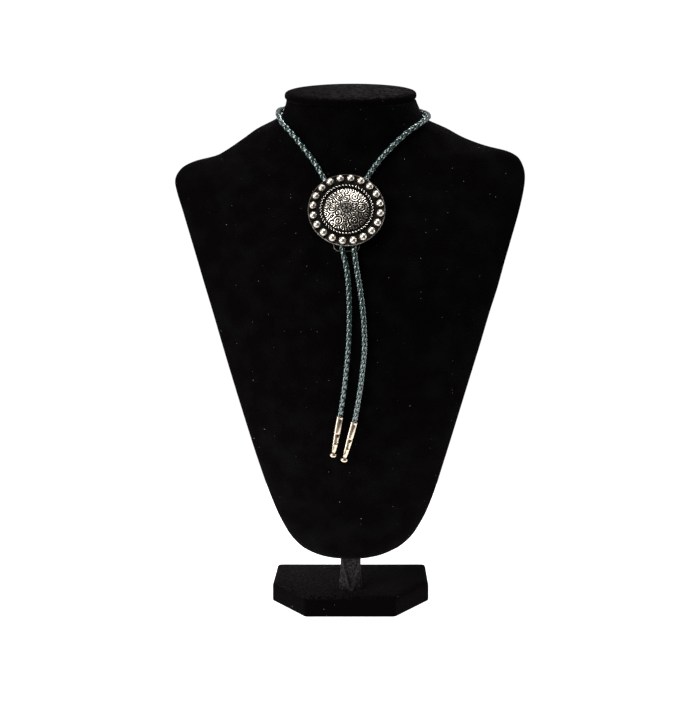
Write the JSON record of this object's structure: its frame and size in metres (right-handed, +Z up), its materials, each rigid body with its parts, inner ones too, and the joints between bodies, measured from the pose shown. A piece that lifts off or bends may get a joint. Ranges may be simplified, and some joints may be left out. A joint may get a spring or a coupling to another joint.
{
  "type": "bolo tie on neck bust",
  "caption": "Braided leather bolo tie with a round beaded silver concho and metal tips, held in place round the neck of a plain black velvet display bust that stands on its own base.",
  "frame": {"origin": "centre of the base's flat underside", "axes": "+X to the viewer's right, the front faces -Y, +Z up along the bust's height"},
  "size_m": [0.229, 0.1271, 0.3372],
  "materials": {
    "velvet": "deep black short-pile velvet with a faint sheen at grazing angles",
    "antiqued_silver": "polished silver plate, blackened in the recesses",
    "bright_silver": "polished silver plate, slightly warm",
    "braided_leather": "dark teal green leather in a round four-strand braid, semi-gloss"
  },
  "bodies": {
    "root": {"stand_base": "velvet", "stand_post": "velvet", "bust_body": "velvet", "neck_cap": "velvet", "concho": "antiqued_silver", "slide_clasp": "bright_silver", "cord": "braided_leather", "left_tip": "bright_silver", "right_tip": "bright_silver"}
  },
  "joints": []
}
